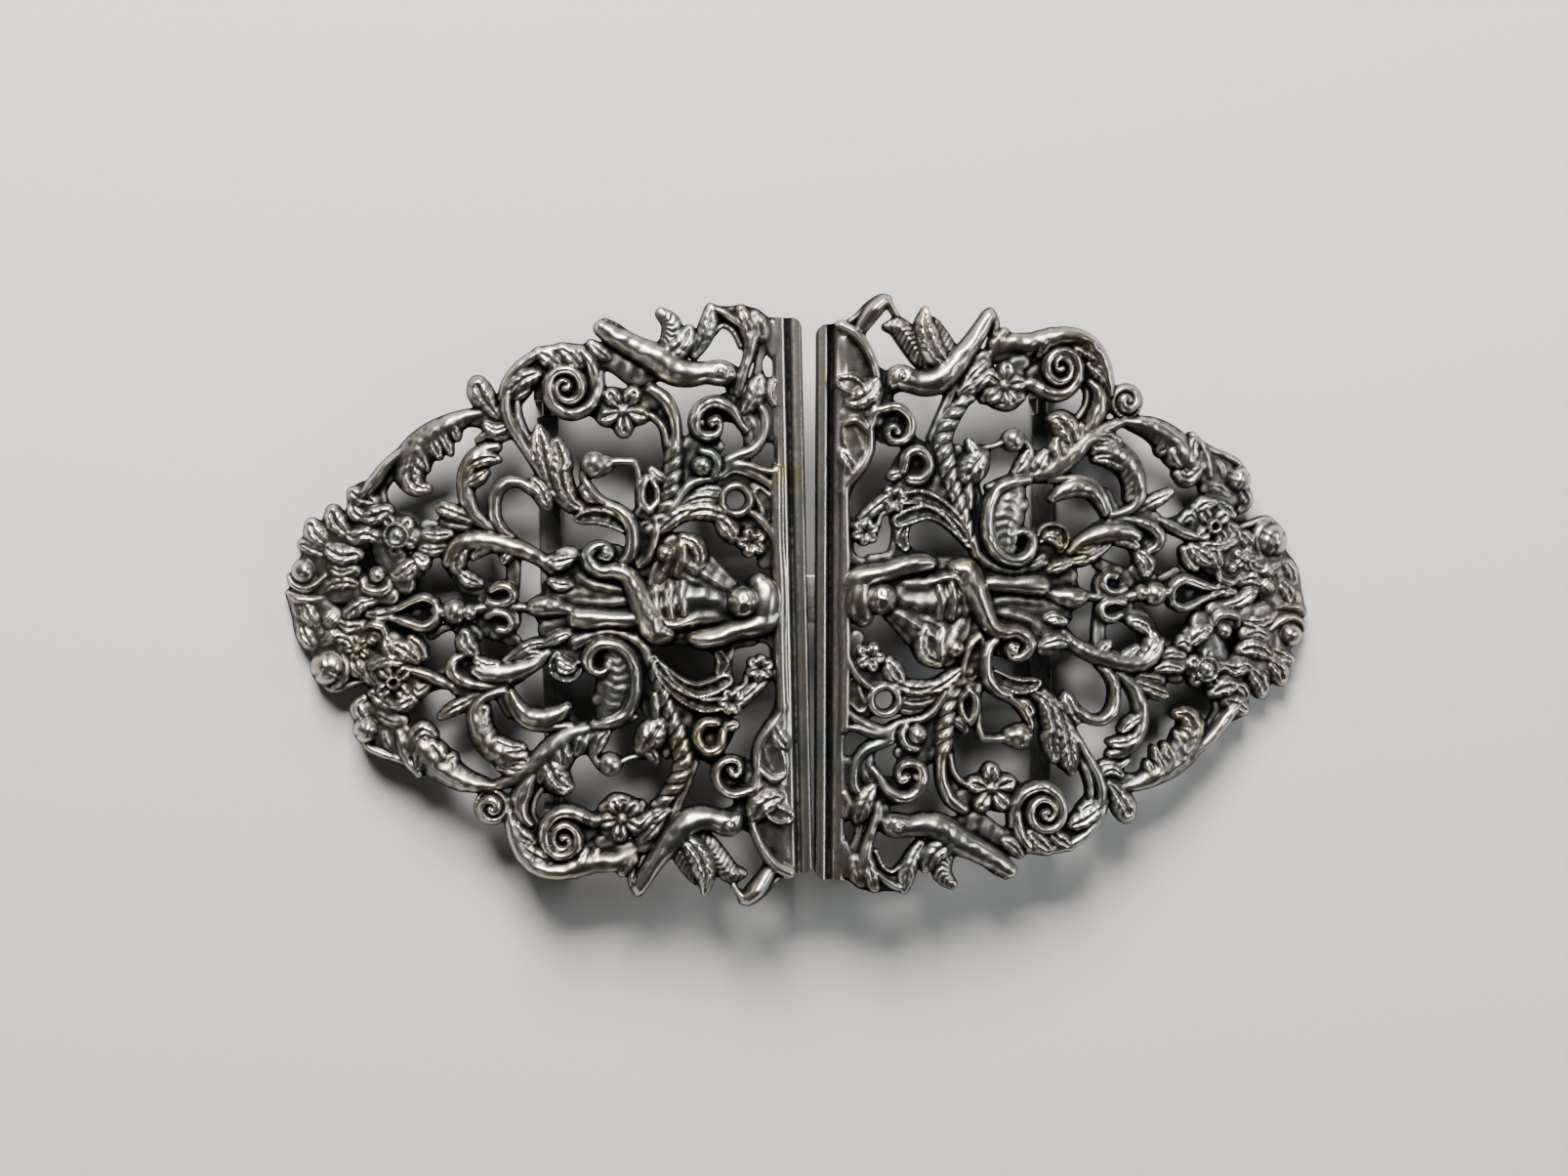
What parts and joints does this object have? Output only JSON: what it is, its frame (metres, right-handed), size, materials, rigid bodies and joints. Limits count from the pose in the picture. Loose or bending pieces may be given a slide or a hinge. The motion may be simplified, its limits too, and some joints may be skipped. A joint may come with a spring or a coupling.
{
  "type": "nurse clasp belt buckle",
  "caption": "Domed two-piece belt buckle of pierced cast silver scrollwork with birds, flowers and spirals, a bar for the belt behind each half and a hook clasp between them.",
  "frame": {"origin": "middle of the buckle's length and height, on the surface that it rests on", "axes": "+X along the belt to the wearer's left, +Y up the buckle as worn, +Z out of its domed front"},
  "size_m": [0.1132, 0.0652, 0.0117],
  "materials": {
    "left_plate": "oxidised cast silver with worn highlights",
    "right_plate": "oxidised cast silver with worn highlights",
    "left_belt_bar": "scratched silver strip",
    "right_belt_bar": "scratched silver strip",
    "clasp_hook": "dull silver strip"
  },
  "bodies": {
    "root": {"left_plate": "left_plate", "right_plate": "right_plate", "left_belt_bar": "left_belt_bar", "right_belt_bar": "right_belt_bar", "clasp_hook": "clasp_hook"}
  },
  "joints": []
}
